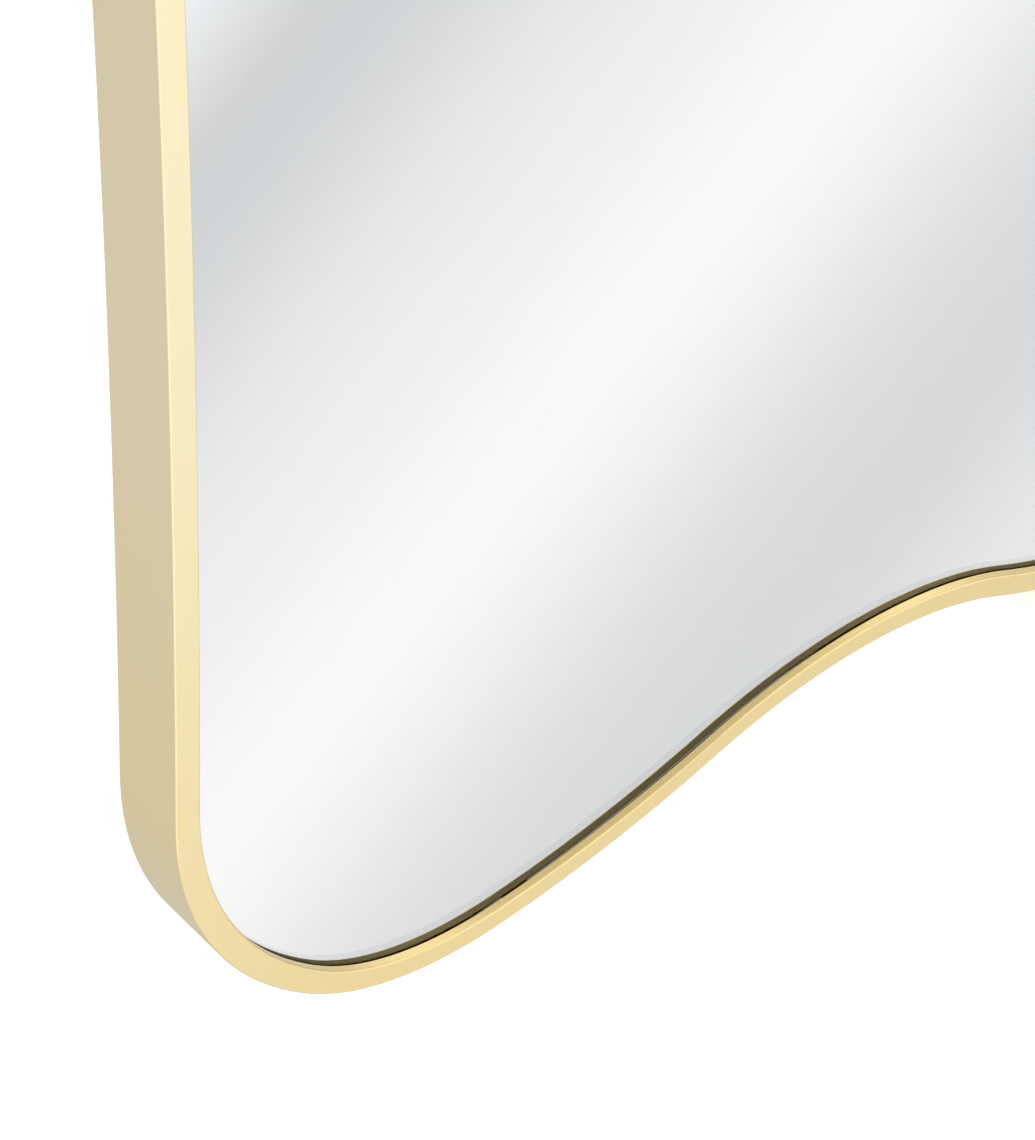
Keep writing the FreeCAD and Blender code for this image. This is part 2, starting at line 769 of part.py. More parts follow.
def build():
    """Every piece of the mirror, in order from the front to the wall."""
    clip_point = [Vector(size("clip_hole_inset"), 0, 0)]
    clip_spots = []
    for name, share in CLIP_PLACES:
        clip_spots += flat_spots(edge_place(name, share), clip_point)
    strap_spots = []
    for _label, place in hanger_places():
        strap_spots += flat_spots(place, strap_hole_centres())
    pieces = [
        make_frame(),
        make_key(),
        make_key_screws(),
        make_gasket(),
        make_layer("mirror_glass", SILVER_FRONT, "glass_thick"),
        make_layer("silver_coating", FILM_FRONT, "silver_thick"),
        make_layer("safety_film", FOAM_FRONT, "film_thick"),
        make_layer("foam_sheet", BOARD_FRONT, "foam_thick"),
        make_layer("backing_board", BOARD_BACK, "board_thick"),
    ]
    for number, (name, share) in enumerate(PAD_PLACES, start=1):
        pieces.append(make_pad(number, name, share))
    for number, (name, share) in enumerate(CLIP_PLACES, start=1):
        pieces.append(make_clip(number, name, share))
    clip_screw = pan_screw("clip_screw", size("clip_thick") + size("screw_bite"))
    clip_back = BOARD_BACK - size("clip_thick")
    pieces.append(screw_group("clip_screws", clip_screw, clip_spots, clip_back))
    for label, place in hanger_places():
        pieces.append(make_strap("hanger_strap_" + label, place))
        pieces.append(make_ring("hanger_ring_" + label, place))
    strap_screw = pan_screw("strap_screw", size("strap_thick") + size("screw_bite"))
    strap_back = BOARD_BACK - size("strap_thick")
    pieces.append(screw_group("hanger_screws", strap_screw, strap_spots, strap_back))
    return pieces


def write_steps(pieces):
    """Check every object and shape, then write one file per piece."""
    doc.recompute()
    for thing in doc.Objects:
        if "Invalid" in thing.State or "Error" in thing.State:
            raise RuntimeError("%s is %s" % (thing.Label, thing.State))
    for piece in pieces:
        if piece.Shape.isNull() or not piece.Shape.isValid():
            raise RuntimeError(piece.Label + " has no valid shape")
    os.makedirs("parts", exist_ok=True)
    for piece in pieces:
        piece.Shape.exportStep("parts/%s.step" % piece.Label)
        print("%-28s %10.1f mm3  %d solid(s)" % (piece.Label, piece.Shape.Volume, len(piece.Shape.Solids)))


write_steps(build())
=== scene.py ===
import cmath
import math

import bmesh
import bpy
from mathutils import Matrix, Vector


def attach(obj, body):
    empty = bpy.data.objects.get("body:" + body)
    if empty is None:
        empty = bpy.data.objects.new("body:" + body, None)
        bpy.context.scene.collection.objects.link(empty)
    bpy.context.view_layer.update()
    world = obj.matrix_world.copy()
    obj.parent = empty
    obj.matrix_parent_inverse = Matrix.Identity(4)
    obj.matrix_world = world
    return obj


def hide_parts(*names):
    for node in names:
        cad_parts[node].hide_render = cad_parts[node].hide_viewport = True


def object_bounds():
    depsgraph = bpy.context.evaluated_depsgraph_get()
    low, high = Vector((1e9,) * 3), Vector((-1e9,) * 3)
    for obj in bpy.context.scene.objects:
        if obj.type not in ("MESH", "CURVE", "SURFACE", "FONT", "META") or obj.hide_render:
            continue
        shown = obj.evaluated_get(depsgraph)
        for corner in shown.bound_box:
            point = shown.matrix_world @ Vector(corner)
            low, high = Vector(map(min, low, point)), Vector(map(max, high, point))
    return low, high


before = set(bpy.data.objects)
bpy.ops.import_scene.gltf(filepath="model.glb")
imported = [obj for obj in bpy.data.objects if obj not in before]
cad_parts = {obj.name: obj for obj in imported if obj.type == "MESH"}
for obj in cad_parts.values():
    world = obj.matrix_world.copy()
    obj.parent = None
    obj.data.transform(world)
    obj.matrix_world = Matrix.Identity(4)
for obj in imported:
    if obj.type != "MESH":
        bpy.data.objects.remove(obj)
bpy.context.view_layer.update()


# ================================================================ frame
# One aluminium extrusion with a flat front lip and a short inner return, bent into the soft
# outline and closed by a single butt seam at the top. It is blasted, then anodised in champagne
# gold, which leaves a fine satin grain over faint lengthwise lines from the die.

# Sizes are in millimetres and the scene is in metres.
MM = 0.001
OUTLINE = [
    # name, radius in mm, turn in degrees; a turn of zero is a straight that closes the loop
    ("foot", 220.0, 42.0),
    ("heel", 130.0, 44.5),
    ("toe", 345.0, 17.0),
    ("dip", 176.0, -49.0),
    ("sole", 420.0, 6.0),
    ("lobe", 98.0, 126.5),
    ("waist", 1600.0, -13.0),
    ("right_run", 0.0, 0.0),
    ("shoulder", 160.0, 48.0),
    ("brow", 230.0, 34.0),
    ("scoop", 480.0, -13.0),
    ("top_run", 0.0, 0.0),
    ("crown", 140.0, 74.0),
    ("temple", 220.0, 45.2),
    ("flank", 12000.0, -2.2),
]
# The walk starts low on the left side, at (X, Z), and heads down.
WALK_START = complex(-284.7, -432.0)
WALK_HEADING = math.radians(-91.0)
# The butt seam: its stretch, how far along it, and the hairline that is left there.
SEAM = ("top_run", 0.5)
SEAM_GAP = 0.05


def ahead(heading):
    """A step of one along the heading."""
    return cmath.exp(1j * heading)


def inward(heading):
    """A step of one towards the pane, which is on the left of the walk."""
    return 1j * ahead(heading)


def lay_out():
    """Every stretch as name: (start, heading, signed radius, turn, length), in mm and radians."""
    heading, gap, runs = WALK_HEADING, 0j, []
    for name, radius, turn in OUTLINE:
        swing = math.radians(turn)
        if turn:
            reach = math.copysign(radius, turn)
            gap += (inward(heading) - inward(heading + swing)) * reach
        else:
            runs.append((name, ahead(heading)))
        heading += swing
    # The two straights are as long as it takes for the loop to close.
    (first, along), (second, across) = runs
    cross = (along.conjugate() * across).imag
    lengths = {
        first: (gap * across.conjugate()).imag / cross,
        second: -(along.conjugate() * gap).imag / cross,
    }
    here, heading, stretches = WALK_START, WALK_HEADING, {}
    for name, radius, turn in OUTLINE:
        swing = math.radians(turn)
        reach = math.copysign(radius, turn) if turn else 0.0
        length = abs(reach * swing) if turn else lengths[name]
        stretches[name] = (here, heading, reach, swing, length)
        if turn:
            here += (inward(heading) - inward(heading + swing)) * reach
        else:
            here += ahead(heading) * length
        heading += swing
    return stretches


STRETCHES = lay_out()


def spot(name, share):
    """Point of the outer face and heading, part of the way along one stretch."""
    start, heading, reach, swing, length = STRETCHES[name]
    if not swing:
        return start + ahead(heading) * length * share, heading
    there = heading + swing * share
    return start + (inward(heading) - inward(there)) * reach, there


def stations(step=4.0, gap=0.0):
    """Points round the outline from one side of the seam to the other: (point, heading, run)."""
    names = [row[0] for row in OUTLINE]
    seam, half = SEAM
    place = names.index(seam)
    order = names[place + 1:] + names[:place]
    lead = gap / 2 / STRETCHES[seam][4]
    pieces = [(seam, half + lead, 1.0)] + [(name, 0.0, 1.0) for name in order]
    pieces.append((seam, 0.0, half - lead))
    found, run = [], 0.0
    for name, begin, end in pieces:
        length = STRETCHES[name][4] * (end - begin)
        count = max(1, math.ceil(length / step))
        for number in range(count):
            share = begin + (end - begin) * number / count
            found.append((*spot(name, share), run + length * number / count))
        run += length
    if gap:
        found.append((*spot(seam, half - lead), run))
    return found


# A corner up to this radius takes three steps, and a larger one six.
FINE_RADIUS = 0.25


def rounded(corners):
    """A closed section with its corners rounded: rows of (inset, depth, normal in, normal out, run).

    The corners are (inset, depth, radius) in mm, with the metal on the left of the walk.
    """
    rows, run, last = [], 0.0, None
    for number, (inset, depth, radius) in enumerate(corners):
        point = complex(inset, depth)
        before = complex(*corners[number - 1][:2])
        after = complex(*corners[(number + 1) % len(corners)][:2])
        into, out = point - before, after - point
        into, out = into / abs(into), out / abs(out)
        turn = cmath.phase(out / into)
        side = math.copysign(1.0, turn)
        reach = radius * math.tan(abs(turn) / 2)
        centre = point - into * reach + into * 1j * side * radius
        steps = 6 if radius > FINE_RADIUS else 3
        for part in range(steps + 1):
            normal = into * -1j * cmath.exp(1j * turn * part / steps)
            here = centre + normal * side * radius
            run += abs(here - last) if last is not None else 0.0
            last = here
            rows.append((here.real, here.imag, normal.real, normal.imag, run))
    return rows


def sweep(name, rows, places, closed):
    """The section carried round the outline, with exact normals and a UV map in metres."""
    verts, normals, marks = [], [], []
    for point, heading, run in places:
        across = inward(heading)
        for inset, depth, lean_in, lean_out, along in rows:
            here = point + across * inset
            verts.append((here.real * MM, -depth * MM, here.imag * MM))
            normals.append((across.real * lean_in, -lean_out, across.imag * lean_in))
            marks.append((run * MM, along * MM))
    wide, faces = len(rows), []
    for number in range(len(places) if closed else len(places) - 1):
        near, far = number * wide, (number + 1) % len(places) * wide
        for row in range(wide):
            other = (row + 1) % wide
            faces.append((near + row, near + other, far + other, far + row))
    if not closed:
        faces.append(tuple(reversed(range(wide))))
        faces.append(tuple(range(len(verts) - wide, len(verts))))
    mesh = bpy.data.meshes.new(name)
    mesh.from_pydata(verts, [], faces)
    uv = mesh.uv_layers.new(name="run")
    for loop in mesh.loops:
        uv.data[loop.index].uv = marks[loop.vertex_index]
    mesh.polygons.foreach_set("use_smooth", [len(face) == 4 for face in faces])
    mesh.update()
    mesh.normals_split_custom_set([
        face.normal if len(face.vertices) > 4 else normals[mesh.loops[corner].vertex_index]
        for face in mesh.polygons for corner in face.loop_indices])
    piece = bpy.data.objects.new(name, mesh)
    bpy.context.scene.collection.objects.link(piece)
    return piece


def linear(code):
    """An sRGB hex colour as linear RGBA."""
    parts = [int(code[place:place + 2], 16) / 255 for place in (1, 3, 5)]
    return (*[((c + 0.055) / 1.055) ** 2.4 if c > 0.04045 else c / 12.92 for c in parts], 1.0)


def add(tree, kind, sockets, **settings):
    """One node with its settings; each socket gets a value or another node's output."""
    made = tree.nodes.new("ShaderNode" + kind)
    for name, value in settings.items():
        setattr(made, name, value)
    for name, value in sockets.items():
        if isinstance(value, bpy.types.NodeSocket):
            tree.links.new(value, made.inputs[name])
        else:
            made.inputs[name].default_value = value
    return made


def new_material(name):
    """An empty material and its node tree."""
    material = bpy.data.materials.new(name)
    material.use_nodes = True
    material.node_tree.nodes.clear()
    return material, material.node_tree


def shade(ramp, stops):
    """Puts (place, colour) stops on a colour ramp; a colour is sRGB hex or already linear."""
    band = ramp.color_ramp
    while len(band.elements) < len(stops):
        band.elements.new(0.5)
    for element, (place, colour) in zip(band.elements, stops):
        element.position = place
        element.color = linear(colour) if isinstance(colour, str) else colour


# Anodised aluminium: a clear hard oxide over dyed metal, so the gold keeps a pale sheen. The blasted
# grain is about 0.08 mm, drawn at 0.3 mm to show. The die lines are 0.4 mm apart, and one fades into
# the next six times in a metre.
anodised_gold, tree = new_material("satin champagne anodised aluminium")
run_map = add(tree, "UVMap", {}, uv_map="run")
die_scale = add(tree, "Mapping", {"Vector": run_map.outputs["UV"], "Scale": (6.0, 1 / (0.4 * MM), 1.0)})
die_lines = add(tree, "TexNoise", {"Vector": die_scale.outputs["Vector"], "Scale": 1.0, "Detail": 2.0})
place = add(tree, "TexCoord", {})
grain = add(tree, "TexNoise", {"Vector": place.outputs["Object"], "Scale": 1 / (0.3 * MM), "Detail": 2.0})
# The gold is painted paler towards the top as a painted highlight, and a shade deeper along the bottom,
# with random clouds of 160 mm that move the shade by up to 60 mm.
sheen_height = add(tree, "SeparateXYZ", {"Vector": place.outputs["Object"]})
batch = add(tree, "TexNoise", {"Vector": place.outputs["Object"], "Scale": 1 / (160 * MM), "Detail": 1.0})
cloudy_sheen_height = add(tree, "Math", {
    0: batch.outputs["Fac"], 1: 60 * MM, 2: sheen_height.outputs["Z"]}, operation="MULTIPLY_ADD")
level = add(tree, "MapRange", {"Value": cloudy_sheen_height.outputs[0], "From Min": -0.56, "From Max": -0.16})
# Painted highlight: this ramp makes the upper frame paler and the lower frame a deeper gold.
gold_with_painted_sheen = add(tree, "ValToRGB", {"Fac": level.outputs["Result"]})
shade(gold_with_painted_sheen, [(0.0, "#F5DB97"), (1.0, "#F7E7BD")])
gloss = add(tree, "MapRange", {
    "Value": die_lines.outputs["Fac"], "From Min": 0.3, "From Max": 0.7, "To Min": 0.32, "To Max": 0.40})
lines_bump = add(tree, "Bump", {
    "Height": die_lines.outputs["Fac"], "Strength": 0.25, "Distance": 0.004 * MM})
grain_bump = add(tree, "Bump", {
    "Height": grain.outputs["Fac"], "Strength": 0.35, "Distance": 0.01 * MM,
    "Normal": lines_bump.outputs["Normal"]})
satin = add(tree, "BsdfPrincipled", {
    "Base Color": gold_with_painted_sheen.outputs["Color"], "Metallic": 1.0, "Roughness": gloss.outputs["Result"],
    "Coat Weight": 0.35, "Coat Roughness": 0.22, "Normal": grain_bump.outputs["Normal"]})
add(tree, "OutputMaterial", {"Surface": satin.outputs["BSDF"]})

DEPTH = 27.5
LIP = 10.0
WALL = 1.6
# The inner return: how thick it is, and where its underside lies.
RETURN = 1.5
RETURN_BACK = 24.4
# Two ribs, the rear edge and one inside it, with the groove for the splice bar between them.
RIB = 4.0
GROOVE_BACK = 1.4
GROOVE_FRONT = 8.0
RIB_FRONT = 9.2
SECTION = [
    # inset from the outer face, depth from the wall, edge radius
    (0.0, DEPTH, 0.6),
    (0.0, 0.0, 0.3),
    (RIB, 0.0, 0.3),
    (RIB, GROOVE_BACK, 0.2),
    (WALL, GROOVE_BACK, 0.15),
    (WALL, GROOVE_FRONT, 0.15),
    (RIB, GROOVE_FRONT, 0.2),
    (RIB, RIB_FRONT, 0.2),
    (WALL, RIB_FRONT, 0.15),
    (WALL, DEPTH - WALL, 0.3),
    (LIP - RETURN, DEPTH - WALL, 0.15),
    (LIP - RETURN, RETURN_BACK, 0.2),
    (LIP, RETURN_BACK, 0.2),
    (LIP, DEPTH, 0.6),
]
bent_frame = sweep("bent_frame", rounded(SECTION), stations(gap=SEAM_GAP), closed=False)
bent_frame.data.materials.append(anodised_gold)
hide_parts("frame")
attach(bent_frame, "mirror")
# In the photograph the silver mirrors the room right down to the dark line of the tape, so light that
# leaves the pane doesn't see the gold.
bent_frame.visible_transmission = False


# ================================================================ glazing gasket
# A thin dark brown foam tape on the underside of the inner return. The pane seats on it, and from
# outside it is the fine dark line between metal and glass. It is stuck down in one length.

TAPE_OUTER = 4.5
TAPE_INNER = 9.6
TAPE_THICK = 0.4
TAPE_EDGE = 0.1
TAPE = [
    (TAPE_OUTER, RETURN_BACK - TAPE_THICK, TAPE_EDGE), (TAPE_INNER, RETURN_BACK - TAPE_THICK, TAPE_EDGE),
    (TAPE_INNER, RETURN_BACK, TAPE_EDGE), (TAPE_OUTER, RETURN_BACK, TAPE_EDGE),
]
tape = sweep("glazing_tape", rounded(TAPE), stations(), closed=True)
# Closed-cell foam rubber: matt, with cells of 0.25 mm, in a warm dark brown that is partly painted shade: it
# stands in for the gold underside of the return in shadow.
foam_rubber_in_shade_brown, tree = new_material("dark brown closed-cell foam rubber")
place = add(tree, "TexCoord", {})
cells = add(tree, "TexVoronoi", {"Vector": place.outputs["Object"], "Scale": 1 / (0.25 * MM)})
brown = add(tree, "ValToRGB", {"Fac": cells.outputs["Distance"]})
shade(brown, [(0.0, "#4C3A12"), (0.8, "#64501F")])
pores = add(tree, "Bump", {"Height": cells.outputs["Distance"], "Strength": 0.6, "Distance": 0.05 * MM})
matt = add(tree, "BsdfPrincipled", {
    "Base Color": brown.outputs["Color"], "Roughness": 0.85, "Specular IOR Level": 0.15,
    "Normal": pores.outputs["Normal"]})
add(tree, "OutputMaterial", {"Surface": matt.outputs["BSDF"]})
tape.data.materials.append(foam_rubber_in_shade_brown)
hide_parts("glazing_gasket")
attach(tape, "mirror")


# ================================================================ pane
# Clear float glass, 4 mm, cut to the outline with its edges ground to a small arris. The back is
# silvered, so what the mirror shows is seen through the full thickness of the glass.

PANE_INSET = 4.5
PANE_THICK = 4.0
PANE_FRONT = RETURN_BACK - TAPE_THICK
PANE_BACK = PANE_FRONT - PANE_THICK
ARRIS = 0.4
# The silver grips the glass: the slab reaches into the coating, so no face lies on another.
PANE_GRIP = 0.03


def slab(name, rings, places):
    """A flat sheet from rings of (inset, depth), front to back, closed by a face at each end."""
    mesh = bpy.data.meshes.new(name)
    verts, faces = [], []
    for inset, depth in rings:
        for point, heading, _run in places:
            here = point + inward(heading) * inset
            verts.append((here.real * MM, -depth * MM, here.imag * MM))
    count = len(places)
    for ring in range(len(rings) - 1):
        for number in range(count):
            other = (number + 1) % count
            low, high = ring * count, (ring + 1) * count
            faces.append((low + number, high + number, high + other, low + other))
    faces.append(tuple(range(count)))
    faces.append(tuple(reversed(range(len(verts) - count, len(verts)))))
    mesh.from_pydata(verts, [], faces)
    mesh.update()
    piece = bpy.data.objects.new(name, mesh)
    bpy.context.scene.collection.objects.link(piece)
    return piece


pane = slab("glass_pane", [
    (PANE_INSET + ARRIS, PANE_FRONT),
    (PANE_INSET, PANE_FRONT - ARRIS),
    (PANE_INSET, PANE_BACK + ARRIS),
    (PANE_INSET + ARRIS, PANE_BACK - PANE_GRIP),
], stations())
# Low-iron float glass: polished on both sides and neutral, with the faint long waves of the float.
float_glass, tree = new_material("clear float glass")
place = add(tree, "TexCoord", {})
waves = add(tree, "TexNoise", {"Vector": place.outputs["Object"], "Scale": 1 / (90 * MM), "Detail": 0.0})
draw = add(tree, "Bump", {"Height": waves.outputs["Fac"], "Strength": 0.2, "Distance": 0.01 * MM})
clear = add(tree, "BsdfPrincipled", {
    "Base Color": linear("#FCFCFC"), "Roughness": 0.0, "IOR": 1.52, "Transmission Weight": 1.0,
    "Normal": draw.outputs["Normal"]})
add(tree, "OutputMaterial", {"Surface": clear.outputs["BSDF"]})
pane.data.materials.append(float_glass)
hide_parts("mirror_glass")
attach(pane, "mirror")


# ================================================================ silver coating
# Silver chemically laid on the back of the glass and covered with two coats of grey paint. Only
# its bright front shows, through the glass; the paint is on the back and round the edge.

silvering, tree = new_material("silvering under grey back paint")
geometry = add(tree, "NewGeometry", {})
facing = add(tree, "SeparateXYZ", {"Vector": geometry.outputs["Normal"]})
front = add(tree, "Math", {0: facing.outputs["Y"], 1: -0.5}, operation="LESS_THAN")
place = add(tree, "TexCoord", {})
film = add(tree, "TexNoise", {"Vector": place.outputs["Object"], "Scale": 1 / (40 * MM), "Detail": 2.0})
bright = add(tree, "ValToRGB", {"Fac": film.outputs["Fac"]})
shade(bright, [(0.2, "#F9F9F9"), (0.8, "#FAFAFA")])
silver = add(tree, "BsdfPrincipled", {
    "Base Color": bright.outputs["Color"], "Metallic": 1.0, "Roughness": 0.0})
orange_peel = add(tree, "TexNoise", {"Vector": place.outputs["Object"], "Scale": 1 / (1.5 * MM)})
coat = add(tree, "ValToRGB", {"Fac": orange_peel.outputs["Fac"]})
shade(coat, [(0.3, "#6D7276"), (0.7, "#787D80")])
paint = add(tree, "BsdfPrincipled", {"Base Color": coat.outputs["Color"], "Roughness": 0.55})
both = add(tree, "MixShader", {0: front.outputs[0], 1: paint.outputs["BSDF"], 2: silver.outputs["BSDF"]})
add(tree, "OutputMaterial", {"Surface": both.outputs["Shader"]})


def dress(label, material):
    """A CAD node keeps its shape and gets its real finish."""
    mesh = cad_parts[label].data
    mesh.materials.clear()
    mesh.materials.append(material)


dress("silver_coating", silvering)


# ================================================================ safety film
# A woven tape film glued over the back paint, which holds the pieces if the glass breaks. The
# weave is 1.2 mm tapes crossing over and under, half clear and half white.

# At scale 1 the wave pattern repeats every 0.314 m; here that is two tapes of 1.2 mm.
WEAVE = 0.314 / (2.4 * MM)
woven_film, tree = new_material("woven polyethylene safety film")
place = add(tree, "TexCoord", {})
warp = add(tree, "TexWave", {"Vector": place.outputs["Object"], "Scale": WEAVE}, bands_direction="X")
weft = add(tree, "TexWave", {"Vector": place.outputs["Object"], "Scale": WEAVE}, bands_direction="Z")
crossing = add(tree, "Math", {0: warp.outputs["Fac"], 1: weft.outputs["Fac"]}, operation="MULTIPLY")
tapes = add(tree, "ValToRGB", {"Fac": crossing.outputs[0]})
shade(tapes, [(0.1, "#BFC6C9"), (0.7, "#DCE1E3")])
relief = add(tree, "Bump", {"Height": crossing.outputs[0], "Strength": 0.5, "Distance": 0.05 * MM})
film_skin = add(tree, "BsdfPrincipled", {
    "Base Color": tapes.outputs["Color"], "Roughness": 0.28, "Normal": relief.outputs["Normal"]})
add(tree, "OutputMaterial", {"Surface": film_skin.outputs["BSDF"]})
dress("safety_film", woven_film)


# ================================================================ foam sheet
# Expanded polyethylene packing foam, 3 mm, laid loose between film and board. It takes up the
# play and keeps the board from marking the paint. The cells are about 1 mm across.

packing_foam, tree = new_material("expanded polyethylene foam")
place = add(tree, "TexCoord", {})
bubbles = add(tree, "TexVoronoi", {"Vector": place.outputs["Object"], "Scale": 1 / (1.0 * MM)})
skin = add(tree, "ValToRGB", {"Fac": bubbles.outputs["Distance"]})
shade(skin, [(0.0, "#F2F2EF"), (0.7, "#E2E2DE")])
dimples = add(tree, "Bump", {"Height": bubbles.outputs["Distance"], "Strength": 0.5, "Distance": 0.15 * MM})
soft = add(tree, "BsdfPrincipled", {
    "Base Color": skin.outputs["Color"], "Roughness": 0.7, "Subsurface Weight": 0.1,
    "Normal": dimples.outputs["Normal"]})
add(tree, "OutputMaterial", {"Surface": soft.outputs["BSDF"]})
dress("foam_sheet", packing_foam)


# ================================================================ backing board
# Medium density fibreboard, 5 mm, faced with a dark melamine paper and cut to the outline. The
# paper has a fine pressed grain, and the cut edge shows the brown fibre.

laminated_board, tree = new_material("melamine-faced fibreboard")
place = add(tree, "TexCoord", {})
geometry = add(tree, "NewGeometry", {})
facing = add(tree, "SeparateXYZ", {"Vector": geometry.outputs["Normal"]})
steep = add(tree, "Math", {0: facing.outputs["Y"]}, operation="ABSOLUTE")
paper_side = add(tree, "Math", {0: steep.outputs[0], 1: 0.5}, operation="GREATER_THAN")
# The pressed grain is 0.6 mm wide and 7 mm long, upright.
pressed = add(tree, "Mapping", {
    "Vector": place.outputs["Object"], "Scale": (1 / (0.6 * MM), 1.0, 1 / (7 * MM))})
pores = add(tree, "TexNoise", {"Vector": pressed.outputs["Vector"], "Scale": 1.0, "Detail": 3.0})
clouds = add(tree, "TexNoise", {"Vector": place.outputs["Object"], "Scale": 1 / (120 * MM), "Detail": 3.0})
tone = add(tree, "Mix", {"Factor": 0.3, "A": pores.outputs["Fac"], "B": clouds.outputs["Fac"]})
paper = add(tree, "ValToRGB", {"Fac": tone.outputs[0]})
shade(paper, [(0.35, "#26231F"), (0.65, "#37322C")])
fibres = add(tree, "TexNoise", {"Vector": place.outputs["Object"], "Scale": 1 / (0.8 * MM), "Detail": 4.0})
raw = add(tree, "ValToRGB", {"Fac": fibres.outputs["Fac"]})
shade(raw, [(0.3, "#7A5C3E"), (0.7, "#A08159")])
colour = add(tree, "Mix", {
    "Factor": paper_side.outputs[0], 6: raw.outputs["Color"], 7: paper.outputs["Color"]}, data_type="RGBA")
grainy = add(tree, "Bump", {"Height": pores.outputs["Fac"], "Strength": 0.4, "Distance": 0.04 * MM})
sheen = add(tree, "MapRange", {"Value": pores.outputs["Fac"], "To Min": 0.42, "To Max": 0.6})
faced = add(tree, "BsdfPrincipled", {
    "Base Color": colour.outputs[2], "Roughness": sheen.outputs["Result"],
    "Normal": grainy.outputs["Normal"]})
add(tree, "OutputMaterial", {"Surface": faced.outputs["BSDF"]})
dress("backing_board", laminated_board)


# ================================================================ edge pads
# Eight small blocks of the same dark foam rubber, pushed between the pane's edge and the frame
# wall. They centre the glass and carry its weight.

EDGE_PADS = 8
for number in range(1, EDGE_PADS + 1):
    dress("edge_pad_%d" % number, foam_rubber_in_shade_brown)


# ================================================================ splice bar
# A zinc-plated steel bar in the groove behind the seam. Four grub screws through it press on the
# outer wall, so both ends of the bent frame are held in line.

GRUB_ALONG = (-38.0, -14.0, 14.0, 38.0)
GRUB_RADIUS = 1.45
GRUB_LENGTH = 2.3
# The radius of the flat point, the height of the cone behind it, and the chamfer at the socket end.
GRUB_POINT = 0.9
GRUB_CONE = 0.4
GRUB_CHAMFER = 0.15
# The six-sided socket: half its width across the flats, how much further out its corners are, and how
# far from the point its floor lies in the middle and at the rim.
GRUB_SOCKET = 0.75
HEX_CORNER = 1.1547
GRUB_SOCKET_FLOOR = 0.9
GRUB_SOCKET_EDGE = 1.1
# The cutter for the socket runs out past the screw's end.
OVERRUN = 0.7
GRUB_DEPTH = 4.7
# After a cut, points closer than this are one point.
WELD = 0.01 * MM


def ease(label, width):
    """A small bevel on the sharp edges of a CAD node, as tumbling or pressing leaves them."""
    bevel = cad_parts[label].modifiers.new("eased", "BEVEL")
    bevel.width = width * MM
    bevel.segments = 2
    bevel.limit_method = "ANGLE"
    bevel.angle_limit = math.radians(40)


# Electroplated zinc with clear passivation: a cool grey, a little cloudy, with fine rubs.
zinc_plate, tree = new_material("bright zinc-plated steel")
place = add(tree, "TexCoord", {})
bloom = add(tree, "TexNoise", {"Vector": place.outputs["Object"], "Scale": 1 / (5 * MM), "Detail": 4.0})
blue = add(tree, "ValToRGB", {"Fac": bloom.outputs["Fac"]})
shade(blue, [(0.3, "#B9BDC0"), (0.7, "#CFD1D0")])
rubs = add(tree, "TexNoise", {"Vector": place.outputs["Object"], "Scale": 1 / (0.4 * MM), "Detail": 3.0})
dull = add(tree, "MapRange", {"Value": rubs.outputs["Fac"], "To Min": 0.22, "To Max": 0.48})
zinc_bump = add(tree, "Bump", {"Height": rubs.outputs["Fac"], "Strength": 0.3, "Distance": 0.01 * MM})
plated = add(tree, "BsdfPrincipled", {
    "Base Color": blue.outputs["Color"], "Metallic": 1.0, "Roughness": dull.outputs["Result"],
    "Normal": zinc_bump.outputs["Normal"]})
add(tree, "OutputMaterial", {"Surface": plated.outputs["BSDF"]})
dress("splice_key", zinc_plate)
ease("splice_key", 0.2)


def turned(rows, sides):
    """A solid turned about +Y from rows of (radius, height); a radius of zero closes an end."""
    form = bmesh.new()
    rings = []
    for radius, height in rows:
        if radius:
            rings.append([form.verts.new((radius * MM * math.cos(a), height * MM, radius * MM * math.sin(a)))
                          for a in [2 * math.pi * step / sides for step in range(sides)]])
        else:
            rings.append([form.verts.new((0, height * MM, 0))])
    for low, high in zip(rings, rings[1:]):
        for step in range(sides):
            quad = [low[step % len(low)], low[(step + 1) % len(low)],
                    high[(step + 1) % len(high)], high[step % len(high)]]
            form.faces.new(list(dict.fromkeys(quad)))
    bmesh.ops.recalc_face_normals(form, faces=form.faces)
    return form


def as_object(name, form):
    """A bmesh as an object in the scene; the bmesh is used up."""
    mesh = bpy.data.meshes.new(name)
    form.to_mesh(mesh)
    form.free()
    piece = bpy.data.objects.new(name, mesh)
    bpy.context.scene.collection.objects.link(piece)
    return piece


def cut_away(blank, cutters):
    """The blank's mesh with the cutters taken out of it; both are used up."""
    for cutter in cutters:
        tool = blank.modifiers.new("cut", "BOOLEAN")
        tool.operation = "DIFFERENCE"
        tool.solver = "EXACT"
        tool.object = cutter
    seen = blank.evaluated_get(bpy.context.evaluated_depsgraph_get())
    mesh = bpy.data.meshes.new_from_object(seen)
    for thing in [blank, *cutters]:
        bpy.data.objects.remove(thing)
    form = bmesh.new()
    form.from_mesh(mesh)
    bmesh.ops.remove_doubles(form, verts=form.verts, dist=WELD)
    bmesh.ops.dissolve_degenerate(form, edges=form.edges, dist=WELD)
    bmesh.ops.triangulate(form, faces=[face for face in form.faces if len(face.verts) > 4])
    form.to_mesh(mesh)
    form.free()
    return mesh


def set_out(name, mesh, places, label):
    """One zinc-plated piece with a copy of the mesh at every place, for the CAD's group of fasteners."""
    form = bmesh.new()
    for matrix in places:
        copy = mesh.copy()
        copy.transform(matrix)
        form.from_mesh(copy)
        bpy.data.meshes.remove(copy)
    piece = as_object(name, form)
    piece.data.set_sharp_from_angle(angle=math.radians(32))
    piece.data.polygons.foreach_set("use_smooth", [True] * len(piece.data.polygons))
    piece.data.materials.append(zinc_plate)
    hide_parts(label)
    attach(piece, "mirror")


